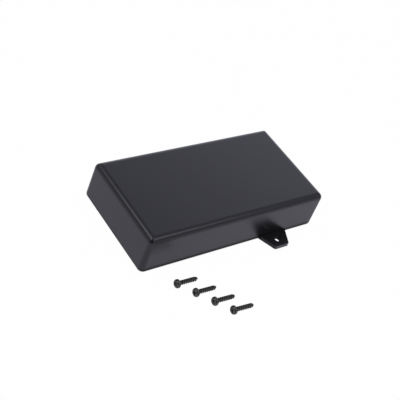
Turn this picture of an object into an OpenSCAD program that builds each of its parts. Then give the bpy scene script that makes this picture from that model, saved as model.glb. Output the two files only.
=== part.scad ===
// Plastic project box: a deep moulded housing that seats over a lipped base plate with
// two fixing lugs, and the box's own four cover screws, taken out and laid in front of it.
// Millimetres, +Z up. The origin is the centre of the base plate's underside.

/* [Housing] */
// Length of the housing over its rim
box_l = 120; // [90:1:200]
// Width of the housing over its rim
box_w = 60; // [50:1:120]
// Height from the base plate's underside to the top of the roof
box_h = 23; // [19:0.5:40]
// Thickness of the side walls
wall = 2; // [1.5:0.1:3]
// Thickness of the roof
roof = 2; // [1.5:0.1:3]
// Draft angle of the walls, which lets the moulding leave its tool
draft = 1.5; // [0.5:0.25:3]
// Radius of the upright corners at the rim
corner_r = 3; // [2:0.1:8]
// Radius of the fillet between the walls and the roof
edge_r = 3.5; // [1:0.1:5]
// Radius of the upright corners inside the walls
inner_corner_r = 2; // [1:0.1:7]
// Radius of the fillet inside the roof
inner_edge_r = 1.4; // [0.5:0.1:2]

/* [Base plate] */
// Thickness of the flange that shows below the housing's rim
flange_t = 1; // [0.8:0.1:1.6]
// How far the flange stands back from the housing's walls
flange_inset = 0.4; // [0.1:0.1:0.8]
// Thickness of the floor inside the flange
floor_t = 2; // [1.6:0.1:3]
// Height of the locating lip over the flange
lip_h = 2.5; // [1.5:0.1:4]
// Thickness of the locating lip
lip_t = 1.2; // [0.8:0.1:2]
// Side clearance between the locating lip and the housing's walls
lip_gap = 0.2; // [0.1:0.05:0.4]

/* [Fixing lugs] */
// Distance of each lug's middle from the middle of the box
lug_x = 29; // [0:0.5:30]
// Reach of a lug past the housing's rim
lug_reach = 10; // [8:0.5:16]
// Width of a lug at the wall
lug_root_w = 19; // [14:0.5:26]
// Width of a lug at its tip
lug_tip_w = 9.5; // [7:0.5:14]
// Thickness of a lug
lug_t = 2; // [1.6:0.1:3]
// Radius of the corners of a lug's tip
lug_corner_r = 1.2; // [0.4:0.1:2]
// Diameter of the fixing hole in a lug
lug_hole_d = 3.6; // [3:0.1:5]
// Distance of the fixing hole from the housing's rim
lug_hole_y = 5.1; // [4:0.1:6]
// Clearance between a lug and its notch in the housing's rim
notch_gap = 0.2; // [0.1:0.05:0.4]

/* [Cover screws] */
// Length of a cover screw under its head
screw_l = 12.7; // [8:0.1:15]
// Diameter over the screw's thread
thread_d = 2.6; // [2:0.1:3]
// Diameter of the screw's core inside the thread
core_d = 1.7; // [1.4:0.1:1.9]
// Length of the screw's tapered end
point_l = 1.3; // [0.8:0.1:3]
// Diameter of the screw's blunt tip
tip_d = 1.1; // [0.3:0.1:1.4]
// Diameter of the screw's pan head
head_d = 4.7; // [3.8:0.1:6]
// Height of the screw's pan head
head_h = 1.5; // [1.4:0.1:2.6]
// Radius of the rounded edge of the head
head_edge_r = 0.9; // [0.4:0.1:1.2]
// Depth of the cross recess in the head
recess_depth = 1.1; // [0.6:0.1:1.3]
// Span of the cross recess over two wings at the head's face
recess_d = 2.7; // [2:0.1:3.4]
// Span of the cross recess at its bottom
recess_floor_d = 1.2; // [0.8:0.1:1.6]
// Width of the cross recess's wings
recess_w = 0.7; // [0.4:0.1:1]

/* [Screw seats and pillars] */
// Wall of the cup round each screw seat
cup_wall = 1.2; // [0.8:0.1:1.6]
// Thickness of the cup's floor, which the screw clamps
cup_floor = 1.6; // [1:0.1:2.4]
// Clearance round the screw head in its cup
seat_gap = 0.3; // [0.2:0.05:0.6]
// Gap between a cup and the housing's wall
cup_gap = 0.8; // [0.4:0.1:2]
// Gap between a cup and the pillar over it, so that the rim seats first
pillar_gap = 0.2; // [0.1:0.05:0.4]
// Wall of a pillar round its pilot hole
pillar_wall = 2.2; // [1.5:0.1:2.6]
// Thickness of the webs that tie a pillar to the walls
web_t = 1.4; // [1:0.1:2]

/* [Board posts] */
// Height of the circuit board's posts over the floor
post_h = 3; // [2:0.5:6]
// Diameter of a board post
post_d = 5; // [4:0.1:7]
// Diameter of the pilot hole in a board post
post_hole_d = 1.8; // [1:0.1:2.4]
// Distance of the posts from the ends of the box
post_end = 22; // [16:0.5:30]
// Distance of the posts from the long sides of the box
post_side = 13; // [11:0.5:18]

/* [Hidden] */
$fn = 64;
black_abs = "#2f2f33";
black_steel = "#3a3a3d";
cut = 1;
bite = 0.5;
hair = 0.001;
pilot_spare = 1;
hole_clear = 0.3;
post_floor = 1;

// Least radius that a corner keeps after its draft and clearances
least_r = 0.5;
// Least radius of the roof's flat corner inside its fillet
least_roof_r = 0.1;
flange_l = box_l - 2 * flange_inset;
flange_w = box_w - 2 * flange_inset;
panel_l = box_l - 2 * (wall + lip_gap);
panel_w = box_w - 2 * (wall + lip_gap);
panel_r = max(inner_corner_r - lip_gap, least_r);
lip_top = flange_t + lip_h;

seat_r = head_d / 2 + seat_gap;
seat_z = head_h + seat_gap;
cup_r = seat_r + cup_wall;
cup_top = seat_z + cup_floor;
screw_x = box_l / 2 - wall - cup_gap - cup_r;
screw_y = box_w / 2 - wall - cup_gap - cup_r;
pilot_d = (core_d + thread_d) / 2;
pillar_r = pilot_d / 2 + pillar_wall;
pillar_z = max(cup_top, lip_top) + pillar_gap;
pilot_top = min(seat_z + screw_l + pilot_spare, box_h - roof / 2);

// Where the screws lie: the first one's head, the step to the next, and how each has turned
row_x = 14.2;
row_y = 13.8;
row_step = [6.45, -8.2];
screw_heading = [1.3, 0.5, -0.2, -1];
screw_spin = [20, 50, 10, 35];
// A loose screw rests on the rim of its head and on the thread behind its point
lean = atan((head_d - thread_d) / 2 / (screw_l - point_l));

// A length on the nearest thousandth of a millimetre, so that faces that should meet do meet
function snap(length) = round(length * 1000) / 1000;
// Corner radius at the foot that still leaves least_r after the draft over height h
function foot_r(h, r) = max(r, h * tan(draft) + least_r);
// Fillet e between wall and top, as far as a corner of foot radius r has room for it at height h
function top_r(h, r, e) =
    min(e, (r * cos(draft) - h * sin(draft)) / (1 - sin(draft)) - least_roof_r);

// Half outline of a side that leans in by an angle up to a rounded corner, from the axis outwards.
// The corner's disc stands proud of both its sides by a hair, so that it crosses them cleanly.
module leaning_side(reach, h, r, lean, below = 0) {
    toe = snap((r - hair + (h - r) * sin(lean)) / cos(lean));
    span = 2 * (reach + h + below);
    intersection() {
        union() {
            translate([-span, -span])
                square([span + reach - toe, 2 * span]);
            translate([reach - toe, h - r + hair]) {
                circle(r);
                rotate(lean)
                    translate([-span, -span])
                        square([span + r - hair, span]);
            }
        }
        translate([0, -below])
            square([span, h + below]);
    }
}

// Bar along X that is w wide over its foot, with drafted sides and fillets at its top
module filleted_bar(l, w, h, e) {
    rotate([90, 0, 90])
        linear_extrude(l, center = true)
            for (side = [0, 1])
                mirror([side, 0])
                    leaning_side(w / 2, h, e, draft);
}

// The four conical corners of a drafted block, with fillet e round their top
module coned_corners(l, w, h, foot, e) {
    for (x = [0, 1], y = [0, 1])
        mirror([x, 0])
            mirror([0, y])
                translate([l / 2 - foot, w / 2 - foot])
                    rotate_extrude(angle = 90)
                        leaning_side(foot, h, e, draft);
}

// Block with drafted walls, conical corners and a filleted top, standing on Z = 0. The fillet is
// as large as the corners have room for.
module drafted_block(l, w, h, r, e) {
    foot = snap(foot_r(h, r));
    fillet = snap(top_r(h, foot, e));
    filleted_bar(l - 2 * foot, w, h, fillet);
    rotate(90)
        filleted_bar(w - 2 * foot, l, h, fillet);
    coned_corners(l, w, h, foot, fillet);
}

// The same with its full fillet, which is mitred where two sides meet inside a smaller corner
module mitred_block(l, w, h, r, e) {
    foot = snap(foot_r(h, r));
    difference() {
        intersection() {
            filleted_bar(l + 2 * cut, w, h, e);
            rotate(90)
                filleted_bar(w + 2 * cut, l, h, e);
        }
        for (x = [-1, 1], y = [-1, 1])
            translate([x * (l / 2 - foot / 2 + cut / 2), y * (w / 2 - foot / 2 + cut / 2), h / 2])
                cube([foot + cut, foot + cut, h + 2 * cut], center = true);
    }
    coned_corners(l, w, h, foot, e);
}

// Quarter of a disc in the corner between +X and +Y
module quarter_disc(r) {
    intersection() {
        circle(r);
        square(2 * r);
    }
}

// Plate with rounded corners, standing on Z = 0
module rounded_plate(l, w, h, r) {
    linear_extrude(h) {
        square([l - 2 * r, w], center = true);
        square([l, w - 2 * r], center = true);
        for (x = [0, 1], y = [0, 1])
            mirror([x, 0])
                mirror([0, y])
                    translate([l / 2 - r, w / 2 - r])
                        quarter_disc(r);
    }
}

// Puts its children at each of the four screw axes, turned so that +X and +Y face the walls
module at_screws() {
    for (x = [0, 1], y = [0, 1])
        mirror([x, 0])
            mirror([0, y])
                translate([screw_x, screw_y])
                    children();
}

// Puts its children at both lugs, on the rim's line with +Y pointing outwards
module at_lugs() {
    for (turn = [0, 180])
        rotate(turn)
            translate([-lug_x, box_w / 2])
                children();
}

// Outer skin of the housing with its core taken out
module shell() {
    difference() {
        translate([0, 0, flange_t])
            mitred_block(box_l, box_w, box_h - flange_t, corner_r, edge_r);
        core_h = box_h - roof - flange_t + cut;
        spread = snap(cut * tan(draft));
        translate([0, 0, flange_t - cut])
            drafted_block(box_l - 2 * (wall - spread), box_w - 2 * (wall - spread), core_h,
                inner_corner_r + spread, inner_edge_r);
    }
}

// Screw pillars and the webs that tie them to both walls, kept inside the skin
module pillars() {
    pillar_l = box_h - roof / 2 - pillar_z;
    to_wall = cup_r + cup_gap + wall;
    intersection() {
        at_screws()
            translate([0, 0, pillar_z]) {
                cylinder(h = pillar_l, r = pillar_r);
                translate([0, -web_t / 2, 0])
                    cube([to_wall, web_t, pillar_l]);
                translate([-web_t / 2, 0, 0])
                    cube([web_t, to_wall, pillar_l]);
            }
        translate([0, 0, flange_t])
            drafted_block(box_l - wall, box_w - wall, box_h - flange_t - roof / 2,
                inner_corner_r, inner_edge_r);
    }
}

module housing() {
    color(black_abs)
        difference() {
            union() {
                shell();
                pillars();
            }
            at_screws()
                translate([0, 0, pillar_z - cut])
                    cylinder(h = pilot_top - pillar_z + cut, d = pilot_d);
            at_lugs()
                translate([-lug_root_w / 2 - notch_gap, -wall - cut, 0])
                    cube([lug_root_w + 2 * notch_gap, wall + 2 * cut, lug_t + notch_gap]);
        }
}

// Outline of a lug along +Y: parallel under the housing, then tapered to a tip with rounded corners
module lug_outline() {
    root = wall + lip_gap + bite;
    taper = atan((lug_root_w - lug_tip_w) / 2 / lug_reach);
    for (half = [0, 1])
        mirror([half, 0])
            intersection() {
                leaning_side(lug_root_w / 2, lug_reach, lug_corner_r, taper, root);
                translate([0, -2 * root])
                    square([lug_root_w / 2, lug_reach + 3 * root]);
            }
}

// Flange under the rim, floor and locating lip
module lipped_floor() {
    rounded_plate(flange_l, flange_w, flange_t, corner_r - flange_inset);
    difference() {
        rounded_plate(panel_l, panel_w, lip_top, panel_r);
        translate([0, 0, floor_t])
            rounded_plate(panel_l - 2 * lip_t, panel_w - 2 * lip_t, lip_top - floor_t + cut,
                max(panel_r - lip_t, least_r));
    }
}

// Puts its children at each of the four circuit board posts
module at_posts() {
    for (x = [-1, 1], y = [-1, 1])
        translate([x * (box_l / 2 - post_end), y * (box_w / 2 - post_side)])
            children();
}

module base_plate() {
    color(black_abs)
        difference() {
            union() {
                lipped_floor();
                at_posts()
                    cylinder(h = floor_t + post_h, d = post_d);
                at_screws()
                    cylinder(h = cup_top, r = cup_r);
                at_lugs()
                    linear_extrude(lug_t)
                        lug_outline();
            }
            at_screws() {
                translate([0, 0, -cut])
                    cylinder(h = cup_top + 2 * cut, d = thread_d + hole_clear);
                translate([0, 0, -cut])
                    cylinder(h = seat_z + cut, r = seat_r);
            }
            at_lugs()
                translate([0, lug_hole_y, -cut])
                    cylinder(h = lug_t + 2 * cut, d = lug_hole_d);
            at_posts()
                translate([0, 0, post_floor])
                    cylinder(h = floor_t + post_h - post_floor + cut, d = post_hole_d);
        }
}

// Half section of the pan head, its bearing face on the X axis
module head_profile() {
    centre = [head_d / 2 - head_edge_r, head_h - head_edge_r];
    square([centre.x, head_h]);
    square([head_d / 2, centre.y]);
    translate(centre)
        quarter_disc(head_edge_r);
}

// Cross recess: two crossed wings that taper towards the bottom
module cross_recess() {
    intersection() {
        translate([0, 0, head_h - recess_depth]) {
            cylinder(h = recess_depth, d1 = recess_floor_d, d2 = recess_d);
            translate([0, 0, recess_depth])
                cylinder(h = cut, d = recess_d);
        }
        union()
            for (turn = [0, 90])
                rotate(turn)
                    translate([-recess_d, -recess_w / 2, 0])
                        cube([2 * recess_d, recess_w, head_h + 2 * cut]);
    }
}

// One screw along +X, the bearing face of its head at the origin
module cover_screw() {
    rotate([0, -90, 0])
        difference() {
            rotate_extrude()
                head_profile();
            cross_recess();
        }
    rotate([0, 90, 0]) {
        translate([0, 0, -bite])
            cylinder(h = screw_l - point_l + bite, d = core_d);
        translate([0, 0, screw_l - point_l])
            cylinder(h = point_l, d1 = core_d, d2 = tip_d);
    }
}

module cover_screws() {
    color(black_steel)
        for (i = [0 : len(screw_heading) - 1]) {
            place = [row_x - box_l / 2, -box_w / 2 - row_y] + i * row_step;
            translate([place.x, place.y, head_d / 2 * cos(lean)])
                rotate([0, lean, screw_heading[i]])
                    rotate([screw_spin[i], 0, 0])
                        cover_screw();
        }
}

housing();
base_plate();
cover_screws();
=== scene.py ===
"""Looks for the plastic project box: satin black mouldings, blackened screws and a white studio.

Lengths are in metres and angles in degrees unless a comment says otherwise. Bearings are an
azimuth from +X towards +Y and an elevation.
"""

import math

import bmesh
import bpy
import numpy as np
from mathutils import Matrix, Vector


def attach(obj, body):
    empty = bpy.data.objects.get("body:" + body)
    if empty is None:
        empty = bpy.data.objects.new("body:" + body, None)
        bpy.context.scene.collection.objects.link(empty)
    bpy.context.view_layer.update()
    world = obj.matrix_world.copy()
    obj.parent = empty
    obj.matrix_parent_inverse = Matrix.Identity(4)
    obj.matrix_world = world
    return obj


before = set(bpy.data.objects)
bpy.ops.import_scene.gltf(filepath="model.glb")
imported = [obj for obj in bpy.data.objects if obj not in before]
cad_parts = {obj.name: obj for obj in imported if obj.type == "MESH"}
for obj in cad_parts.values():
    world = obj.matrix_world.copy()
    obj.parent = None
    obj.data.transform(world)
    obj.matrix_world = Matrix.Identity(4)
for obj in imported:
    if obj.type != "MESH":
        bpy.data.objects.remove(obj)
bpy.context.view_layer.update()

MM = 0.001
BODY = "root"
WHITE = (1, 1, 1)

# Darkest and lightest of the black plastic
PLASTIC_DARK = (0.0034, 0.0034, 0.0042)
PLASTIC_LIGHT = (0.0044, 0.0044, 0.0054)
# The painted highlight on the lugs' end faces, which stands in for the light they catch: its pale
# tone, and how far in from the end, in millimetres, it starts to show and shows in full
LUG_END_HIGHLIGHT_COLOUR = (0.16, 0.16, 0.165)
LUG_HIGHLIGHT_REACH, LUG_HIGHLIGHT_FULL = 0.3, 0.05
# Black oxide from its darkest patch to its most worn one, and the tint of its gloss
STEEL_DARK = (0.0, 0.0, 0.0)
STEEL_LIGHT = (0.018, 0.018, 0.0173)
STEEL_GLOSS = (1.0, 0.96, 0.84)

# Screw sizes, as the solids have them
HEAD_HEIGHT = 1.5 * MM
CORE_RADIUS = 0.85 * MM
# The thread: radius over its crests, pitch, and straight stretches in a turn
CREST_RADIUS = 1.3 * MM
THREAD_PITCH = 1.25 * MM
THREAD_STEPS = 28
# Half widths of the ridge at its foot and at its crest, as shares of a quarter of the pitch
RIDGE_FOOT, RIDGE_CREST = 1.05, 0.1
# The ridge's foot lies just inside the core, at this share of its radius
SUNK_SHARE = 0.97
# Bare core under the head, and bare end of the point
THREAD_START = 0.4 * MM
THREAD_END = 0.1 * MM
# The ridge rises from the core over this part of a turn, and at the point it narrows over this
# length towards this share of its radius
THREAD_ENTRY = 0.5
THREAD_TAPER = 1.2 * MM
POINT_SHARE = 0.62
# How far each screw has turned about its axis
THREAD_TURNS = (225, 150, 120, 90)
# Points that agree to this many decimals of a metre are one
SAME_POINT_DECIMALS = 7

# The white table's half width, how far it lies below the part, and its own colour
TABLE_REACH = 4.0
TABLE_GAP = 0.02 * MM
TABLE_COLOUR = (0.9, 0.9, 0.9)
# The table top's colour in reflections
TABLE_GLOW = (0.82, 0.805, 0.94)
# How much of the table's look is that colour in reflections, and plain white to the camera
GLOW_SHARE, WHITE_SHARE = 0.85, 0.99
# How far from a touching surface the table top darkens to the camera, and in reflections, where
# the shade is deepened by this power
CONTACT_REACH = 0.35 * MM
REFLECTED_CONTACT_REACH = 2.2 * MM
REFLECTED_CONTACT_GAMMA = 4.0
# Bearing that this contact shade looks along, away from the light
CONTACT_BEARING = (125, 15)

# The light tent round the box, with a bright backdrop behind it; each edge is the two angles
# from the patch's middle between which it fades out
TENT_COLOUR = (0.52, 0.53, 0.63)
BACKDROP_COLOUR = (0.99, 0.995, 1.18)
BACKDROP_BEARING = (32, 5)
BACKDROP_EDGE = (26, 44)
# The darker room behind the camera
ROOM_COLOUR = (0.10, 0.10, 0.12)
ROOM_BEARING = (-140, 25)
ROOM_EDGE = (20, 50)

# The two soft lamps: name, bearing, width, height and radiance; both stand this far from the box
LAMP_DISTANCE = 0.5
LAMP_TARGET = Vector((0, 0, 0.01))
LAMPS = (
    ("right_softbox", (-64, 48), 0.28, 0.15, 2.0),
    ("left_softbox", (158, 47.5), 0.32, 0.19, 2.05),
)

# The photograph's view: the camera's bearing from its target, its roll, distance and lens
CAMERA_BEARING = (-139.561, 40.308)
CAMERA_ROLL = 23.324
CAMERA_TARGET = Vector((2.672, 5.985, 0)) * MM
CAMERA_DISTANCE = 487.783 * MM
# Lens and sensor width in millimetres, as cameras give them
LENS, SENSOR_WIDTH = 77.5629, 36.0


# ---------------------------------------------------------------- materials


def new_material(name):
    """A new material, with its node tree and its Principled shader."""
    material = bpy.data.materials.new(name)
    material.use_nodes = True
    tree = material.node_tree
    shader = tree.nodes["Principled BSDF"]
    return material, tree, shader


def millimetres(tree):
    """Object coordinates in millimetres, so that textures keep their real size."""
    source = tree.nodes.new("ShaderNodeTexCoord")
    mapping = tree.nodes.new("ShaderNodeMapping")
    mapping.inputs["Scale"].default_value = (1 / MM, 1 / MM, 1 / MM)
    tree.links.new(source.outputs["Object"], mapping.inputs["Vector"])
    return mapping.outputs["Vector"]


def noise(tree, vector, scale, detail=2.0, roughness=0.5):
    """Noise on the given coordinates, with this many lumps to their unit."""
    node = tree.nodes.new("ShaderNodeTexNoise")
    node.inputs["Scale"].default_value = scale
    node.inputs["Detail"].default_value = detail
    node.inputs["Roughness"].default_value = roughness
    tree.links.new(vector, node.inputs["Vector"])
    return node.outputs["Fac"]


def remap(tree, value, low, high):
    """A 0 to 1 value stretched to the range low to high."""
    node = tree.nodes.new("ShaderNodeMapRange")
    node.inputs["To Min"].default_value = low
    node.inputs["To Max"].default_value = high
    tree.links.new(value, node.inputs["Value"])
    return node.outputs["Result"]


def mix_colour(tree, factor, dark, light):
    """A colour between dark and light."""
    node = tree.nodes.new("ShaderNodeMix")
    node.data_type = "RGBA"
    node.inputs["A"].default_value = (*dark, 1)
    node.inputs["B"].default_value = (*light, 1)
    tree.links.new(factor, node.inputs["Factor"])
    return node.outputs["Result"]


def over_colour(tree, factor, below, colour):
    """A fixed colour laid over the colour of a socket."""
    node = tree.nodes.new("ShaderNodeMix")
    node.data_type = "RGBA"
    node.inputs["B"].default_value = (*colour, 1)
    tree.links.new(factor, node.inputs["Factor"])
    tree.links.new(below, node.inputs["A"])
    return node.outputs["Result"]


def over_shader(tree, factor, below, above):
    """A shader laid over another."""
    node = tree.nodes.new("ShaderNodeMixShader")
    tree.links.new(factor, node.inputs["Fac"])
    tree.links.new(below, node.inputs[1])
    tree.links.new(above, node.inputs[2])
    return node.outputs["Shader"]


def bump(tree, height, distance, strength):
    """Bump normal from a height."""
    node = tree.nodes.new("ShaderNodeBump")
    node.inputs["Strength"].default_value = strength
    node.inputs["Distance"].default_value = distance
    tree.links.new(height, node.inputs["Height"])
    return node.outputs["Normal"]


def moulded_plastic(lug_tip):
    """Black ABS with the fine spark-eroded grain of its mould, with a painted highlight on the lugs'
    end faces.
    """
    material, tree, shader = new_material("black_abs")
    vector = millimetres(tree)
    grain = noise(tree, vector, scale=5.0, detail=3.0, roughness=0.6)
    flow = noise(tree, vector, scale=0.06)
    black = mix_colour(tree, flow, PLASTIC_DARK, PLASTIC_LIGHT)
    # The lugs' end faces get a paler colour, a painted highlight for the light they catch
    with_lug_highlight = over_colour(tree, lug_end_highlight(tree, vector, lug_tip), black, LUG_END_HIGHLIGHT_COLOUR)
    tree.links.new(with_lug_highlight, shader.inputs["Base Color"])
    tree.links.new(remap(tree, flow, low=0.26, high=0.30), shader.inputs["Roughness"])
    tree.links.new(bump(tree, grain, distance=0.004 * MM, strength=0.5), shader.inputs["Normal"])
    shader.inputs["IOR"].default_value = 1.5
    return material


def lug_end_highlight(tree, vector, lug_tip):
    """Where the painted highlight goes: 1 on the end faces of the lugs, in blotches, and 0 elsewhere;
    all of it in millimetres.
    """
    parts = tree.nodes.new("ShaderNodeSeparateXYZ")
    tree.links.new(vector, parts.inputs["Vector"])
    across = tree.nodes.new("ShaderNodeMath")
    across.operation = "ABSOLUTE"
    tree.links.new(parts.outputs["Y"], across.inputs[0])
    fade = tree.nodes.new("ShaderNodeMapRange")
    fade.inputs["From Min"].default_value = lug_tip - LUG_HIGHLIGHT_REACH
    fade.inputs["From Max"].default_value = lug_tip - LUG_HIGHLIGHT_FULL
    tree.links.new(across.outputs["Value"], fade.inputs["Value"])
    blotches = remap(tree, noise(tree, vector, scale=0.9), low=0.5, high=1.3)
    # Strength of the painted highlight on the lugs' end faces
    painted_highlight = tree.nodes.new("ShaderNodeMath")
    painted_highlight.operation = "MULTIPLY"
    tree.links.new(fade.outputs["Result"], painted_highlight.inputs[0])
    tree.links.new(blotches, painted_highlight.inputs[1])
    return painted_highlight.outputs["Value"]


def blackened_steel():
    """Steel with a black oxide finish, slightly worn towards grey."""
    material, tree, shader = new_material("black_steel")
    vector = millimetres(tree)
    patches = noise(tree, vector, scale=1.6, detail=4.0, roughness=0.6)
    fine = noise(tree, vector, scale=14.0)
    tree.links.new(mix_colour(tree, patches, STEEL_DARK, STEEL_LIGHT), shader.inputs["Base Color"])
    tree.links.new(remap(tree, patches, low=0.16, high=0.30), shader.inputs["Roughness"])
    tree.links.new(bump(tree, fine, distance=0.004 * MM, strength=0.6), shader.inputs["Normal"])
    shader.inputs["IOR"].default_value = 2.0
    shader.inputs["Specular IOR Level"].default_value = 0.38
    shader.inputs["Specular Tint"].default_value = (*STEEL_GLOSS, 1)
    return material


# ---------------------------------------------------------------- screw threads


def loose_parts(mesh):
    """A mesh's points, and the faces of each of its separate shells; vertices may be split."""
    points = np.array([vertex.co for vertex in mesh.vertices])
    rounded = np.round(points, SAME_POINT_DECIMALS)
    places = {}
    merged = [places.setdefault(tuple(point), len(places)) for point in rounded]
    parent = list(range(len(places)))

    def root(place):
        """The one place that stands for all that are joined to this one so far."""
        while parent[place] != place:
            parent[place] = parent[parent[place]]
            place = parent[place]
        return place

    for polygon in mesh.polygons:
        first = root(merged[polygon.vertices[0]])
        for vertex in polygon.vertices[1:]:
            parent[root(merged[vertex])] = first
    shells = {}
    for polygon in mesh.polygons:
        shell = root(merged[polygon.vertices[0]])
        shells.setdefault(shell, []).append(tuple(polygon.vertices))
    return points, list(shells.values())


def axis_of(points, triangles):
    """Centre, direction towards the point, and the reach each way of a screw's triangles."""
    corners = points[np.array(triangles)]
    edges = corners[:, 1:] - corners[:, :1]
    areas = np.linalg.norm(np.cross(edges[:, 0], edges[:, 1]), axis=1)
    middles = corners.mean(axis=1)
    centre = (middles * areas[:, None]).sum(0) / areas.sum()
    spread = (middles - centre) * np.sqrt(areas)[:, None]
    direction = np.linalg.svd(spread, full_matrices=False)[2][0]
    used = points[np.unique(triangles)]
    along = (used - centre) @ direction
    radii = np.linalg.norm(used - centre - np.outer(along, direction), axis=1)
    if radii[along > 0].max() > radii[along < 0].max():
        direction, along = -direction, -along
    return centre, direction, along.min(), along.max()


def ridge_section(risen, left):
    """The ridge's four corners, as steps along the axis and radii, where it has risen by a share
    and has this much of the axis left before its end."""
    quarter = THREAD_PITCH / 4
    narrowing = min(1.0, POINT_SHARE + (1 - POINT_SHARE) * left / THREAD_TAPER)
    base = CORE_RADIUS * narrowing * SUNK_SHARE
    crest = base + (CREST_RADIUS * narrowing - base) * risen
    return (
        (-quarter * RIDGE_FOOT, base),
        (-quarter * RIDGE_CREST, crest),
        (quarter * RIDGE_CREST, crest),
        (quarter * RIDGE_FOOT, base),
    )


def thread(name, centre, direction, start, end, turn, material):
    """A helical ridge round a screw's core, from start to end along its axis."""
    centre, direction = Vector(centre), Vector(direction)
    side = direction.orthogonal().normalized()
    other = direction.cross(side)
    count = int((end - start) / THREAD_PITCH * THREAD_STEPS)
    mesh = bmesh.new()
    rings = []
    for i in range(count + 1):
        angle = math.radians(turn) + 2 * math.pi * i / THREAD_STEPS
        outwards = side * math.cos(angle) + other * math.sin(angle)
        along = start + (end - start) * i / count
        risen = min(1.0, i / THREAD_STEPS / THREAD_ENTRY)
        rings.append([
            mesh.verts.new(centre + direction * (along + step) + outwards * radius)
            for step, radius in ridge_section(risen, end - along)
        ])
    for a, b in zip(rings, rings[1:]):
        for k in range(4):
            mesh.faces.new((a[k], b[k], b[(k + 1) % 4], a[(k + 1) % 4]))
    mesh.faces.new(rings[0][::-1])
    mesh.faces.new(rings[-1])
    bmesh.ops.recalc_face_normals(mesh, faces=mesh.faces)
    data = bpy.data.meshes.new(name)
    mesh.to_mesh(data)
    mesh.free()
    piece = bpy.data.objects.new(name, data)
    bpy.context.scene.collection.objects.link(piece)
    piece.data.materials.append(material)
    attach(piece, BODY)


# ---------------------------------------------------------------- studio


def bearing(azimuth, elevation):
    """Unit vector at an azimuth and elevation."""
    across, rise = math.radians(azimuth), math.radians(elevation)
    return Vector((
        math.cos(rise) * math.cos(across),
        math.cos(rise) * math.sin(across),
        math.sin(rise),
    ))


def area_lamp(name, place, target, width, height, radiance):
    """A rectangular soft light aimed at a target, whose surface shows at the given radiance."""
    data = bpy.data.lights.new(name, "AREA")
    data.shape = "RECTANGLE"
    data.size, data.size_y = width, height
    data.energy = radiance * math.pi * width * height
    lamp = bpy.data.objects.new(name, data)
    bpy.context.scene.collection.objects.link(lamp)
    lamp.location = place
    lamp.rotation_euler = (target - place).to_track_quat("-Z", "Y").to_euler()


def floor():
    """The table top, one-sided, so that the part can also be looked at from below."""
    data = bpy.data.meshes.new("floor")
    corners = [(-1, -1), (1, -1), (1, 1), (-1, 1)]
    data.from_pydata([(x * TABLE_REACH, y * TABLE_REACH, 0) for x, y in corners], [], [(0, 1, 2, 3)])
    table = bpy.data.objects.new("floor", data)
    bpy.context.scene.collection.objects.link(table)
    table.location.z = -TABLE_GAP
    data.materials.append(white_table())


def white_table():
    """White to the camera and in reflections, in both a little darker where things meet it."""
    material, tree, shader = new_material("white_table")
    shader.inputs["Base Color"].default_value = (*TABLE_COLOUR, 1)
    shader.inputs["Roughness"].default_value = 0.6
    shader.inputs["Specular IOR Level"].default_value = 0.0
    seen = contact_shade(tree, CONTACT_REACH)
    deeper = tree.nodes.new("ShaderNodeGamma")
    deeper.inputs["Gamma"].default_value = REFLECTED_CONTACT_GAMMA
    tree.links.new(contact_shade(tree, REFLECTED_CONTACT_REACH), deeper.inputs["Color"])
    tinted = tree.nodes.new("ShaderNodeMix")
    tinted.data_type = "RGBA"
    tinted.blend_type = "MULTIPLY"
    tinted.inputs["Factor"].default_value = 1
    tinted.inputs["B"].default_value = (*TABLE_GLOW, 1)
    tree.links.new(deeper.outputs["Color"], tinted.inputs["A"])
    reflected = tinted.outputs["Result"]
    path = tree.nodes.new("ShaderNodeLightPath")
    result = shader.outputs["BSDF"]
    for ray, share, colour in (
        ("Is Glossy Ray", GLOW_SHARE, reflected),
        ("Is Transmission Ray", GLOW_SHARE, reflected),
        ("Is Camera Ray", WHITE_SHARE, seen),
    ):
        glow = tree.nodes.new("ShaderNodeEmission")
        tree.links.new(colour, glow.inputs["Color"])
        weight = remap(tree, path.outputs[ray], low=0, high=share)
        result = over_shader(tree, weight, result, glow.outputs["Emission"])
    side = tree.nodes.new("ShaderNodeNewGeometry")
    clear = tree.nodes.new("ShaderNodeBsdfTransparent")
    one_sided = over_shader(tree, side.outputs["Backfacing"], result, clear.outputs["BSDF"])
    tree.links.new(one_sided, tree.nodes["Material Output"].inputs["Surface"])
    return material


def contact_shade(tree, reach):
    """White, darkening within reach of anything that stands on the shaded side."""
    shade = tree.nodes.new("ShaderNodeAmbientOcclusion")
    shade.samples = 16
    shade.inputs["Distance"].default_value = reach
    toward = tree.nodes.new("ShaderNodeNormal")
    toward.outputs["Normal"].default_value = bearing(*CONTACT_BEARING)
    tree.links.new(toward.outputs["Normal"], shade.inputs["Normal"])
    return shade.outputs["Color"]


def white_world():
    """A light tent: grey all round with a bright backdrop behind the box, and white to the camera."""
    world = bpy.data.worlds.new("tent")
    world.use_nodes = True
    bpy.context.scene.world = world
    tree = world.node_tree
    background = tree.nodes["Background"]
    source = tree.nodes.new("ShaderNodeTexCoord")
    sky = source.outputs["Generated"]
    backdrop = patch(tree, sky, BACKDROP_BEARING, BACKDROP_EDGE)
    tent = mix_colour(tree, backdrop, TENT_COLOUR, BACKDROP_COLOUR)
    tent_and_room = over_colour(tree, patch(tree, sky, ROOM_BEARING, ROOM_EDGE), tent, ROOM_COLOUR)
    path = tree.nodes.new("ShaderNodeLightPath")
    seen = over_colour(tree, path.outputs["Is Camera Ray"], tent_and_room, WHITE)
    tree.links.new(seen, background.inputs["Color"])


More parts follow.
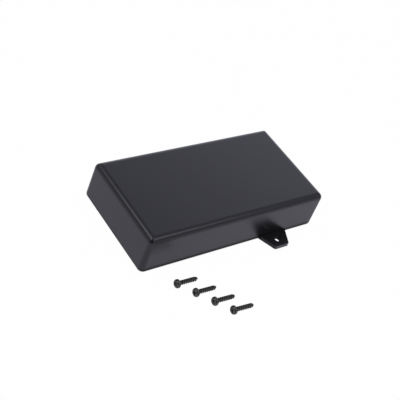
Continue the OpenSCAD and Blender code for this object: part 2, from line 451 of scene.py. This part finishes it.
def patch(tree, direction, middle, edge):
    """A round soft patch of the world: 1 up to the edge's inner angle and 0 past its outer one."""
    toward = tree.nodes.new("ShaderNodeVectorMath")
    toward.operation = "DOT_PRODUCT"
    toward.inputs[1].default_value = bearing(*middle)
    tree.links.new(direction, toward.inputs[0])
    fade = tree.nodes.new("ShaderNodeMapRange")
    fade.interpolation_type = "SMOOTHSTEP"
    fade.inputs["From Min"].default_value = math.cos(math.radians(edge[1]))
    fade.inputs["From Max"].default_value = math.cos(math.radians(edge[0]))
    tree.links.new(toward.outputs["Value"], fade.inputs["Value"])
    return fade.outputs["Result"]


def camera():
    """The photograph's view: above the box's front left corner, with the table tilted in the frame."""
    roll = math.radians(CAMERA_ROLL)
    back = bearing(*CAMERA_BEARING)
    right = Vector((0, 0, 1)).cross(back).normalized()
    up = back.cross(right)
    turned_right = right * math.cos(roll) + up * math.sin(roll)
    turned_up = up * math.cos(roll) - right * math.sin(roll)
    data = bpy.data.cameras.new("camera")
    data.sensor_width = SENSOR_WIDTH
    data.lens = LENS
    data.clip_start, data.clip_end = 0.01, 20
    view = bpy.data.objects.new("camera", data)
    bpy.context.scene.collection.objects.link(view)
    turn = Matrix((turned_right, turned_up, back)).transposed()
    view.matrix_world = Matrix.Translation(CAMERA_TARGET + back * CAMERA_DISTANCE) @ turn.to_4x4()
    bpy.context.scene.camera = view


def thread_screws(steel):
    """A thread on each of the screws, which are the separate shells of their node."""
    points, shells = loose_parts(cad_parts["cover_screws"].data)
    for number, (faces, turn) in enumerate(zip(shells, THREAD_TURNS, strict=True), 1):
        centre, direction, low, high = axis_of(points, faces)
        start, end = low + HEAD_HEIGHT + THREAD_START, high - THREAD_END
        thread(f"screw_thread_{number}", centre, direction, start, end, turn, steel)


def main():
    """Gives the solids their materials, adds the threads and sets up the studio."""
    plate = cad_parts["base_plate"].data
    lug_tip = max(abs(vertex.co.y) for vertex in plate.vertices) / MM
    plastic = moulded_plastic(lug_tip)
    steel = blackened_steel()
    for name, material in (("housing", plastic), ("base_plate", plastic), ("cover_screws", steel)):
        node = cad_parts[name]
        node.data.materials.clear()
        node.data.materials.append(material)
    thread_screws(steel)

    camera()
    floor()
    white_world()
    for name, direction, width, height, radiance in LAMPS:
        place = LAMP_TARGET + bearing(*direction) * LAMP_DISTANCE
        area_lamp(name, place, LAMP_TARGET, width, height, radiance)
    bpy.context.scene.view_settings.view_transform = "Standard"


main()
